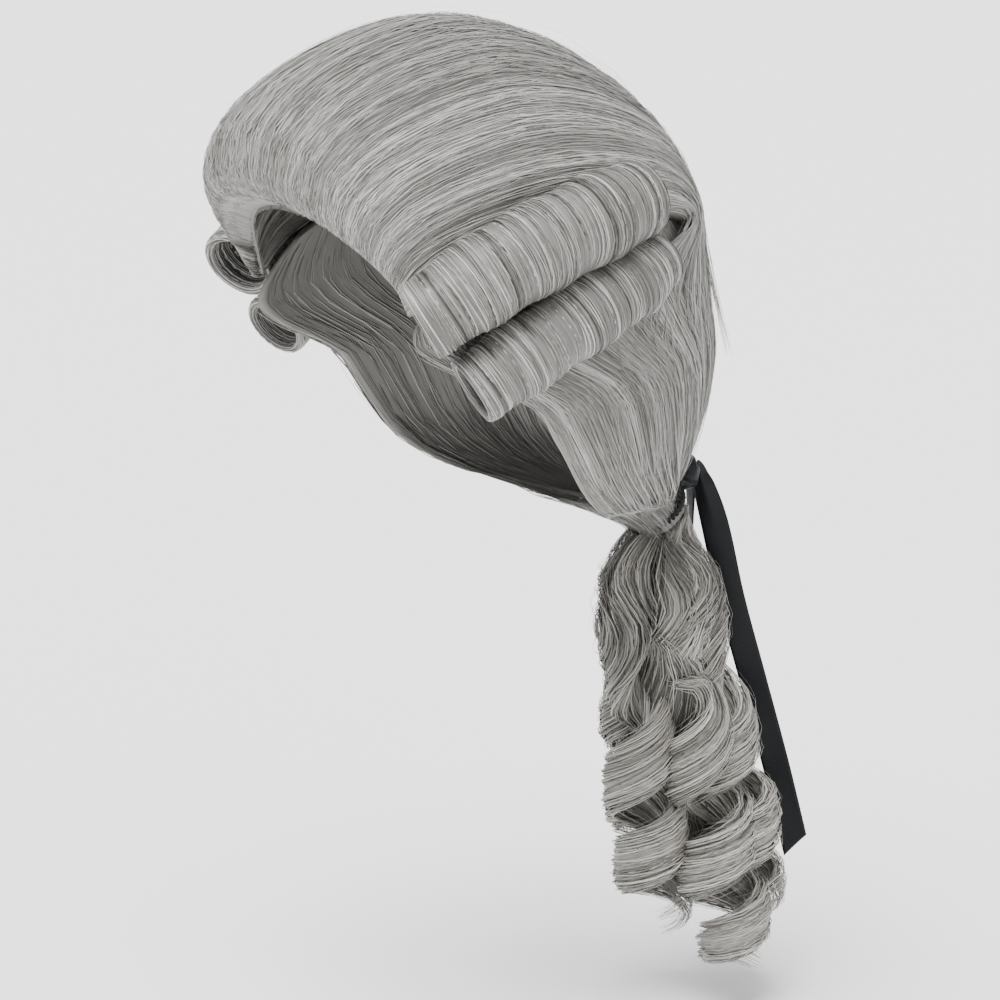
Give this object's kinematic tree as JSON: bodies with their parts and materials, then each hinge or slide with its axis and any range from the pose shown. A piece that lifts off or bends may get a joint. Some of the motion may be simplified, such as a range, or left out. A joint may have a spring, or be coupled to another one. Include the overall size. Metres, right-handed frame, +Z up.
{
  "type": "court wig with side rolls and a tied queue",
  "caption": "Grey swept-back court wig with wound rolls at the sides, hair gathered at the nape in a braided tie with a knotted ribbon, and a queue of spiral locks.",
  "frame": {"origin": "the inner top of the cap hollow, where the wig sits when it is worn or put on a stand", "axes": "+Z up; the face opening looks towards -Y; the wig's left side is +X"},
  "size_m": [0.2257, 0.3043, 0.4711],
  "materials": {
    "hair": "combed grey synthetic hair with a soft sheen along the strands",
    "rolled_hair": "grey synthetic hair wound tight round each roll",
    "curled_hair": "grey synthetic hair set in spiral locks, a little darker in the hollows",
    "braid": "black braided elastic, matt",
    "ribbon": "black woven satin ribbon with a dull blue-grey sheen"
  },
  "bodies": {
    "root": {"crown_hair": "hair", "nape_hair": "hair", "side_roll_upper_left": "rolled_hair", "side_roll_lower_left": "rolled_hair", "side_roll_upper_right": "rolled_hair", "side_roll_lower_right": "rolled_hair", "hair_tie": "braid", "ribbon_knot": "ribbon", "ribbon_tail_left": "ribbon", "ribbon_tail_right": "ribbon", "queue": "curled_hair"}
  },
  "joints": []
}
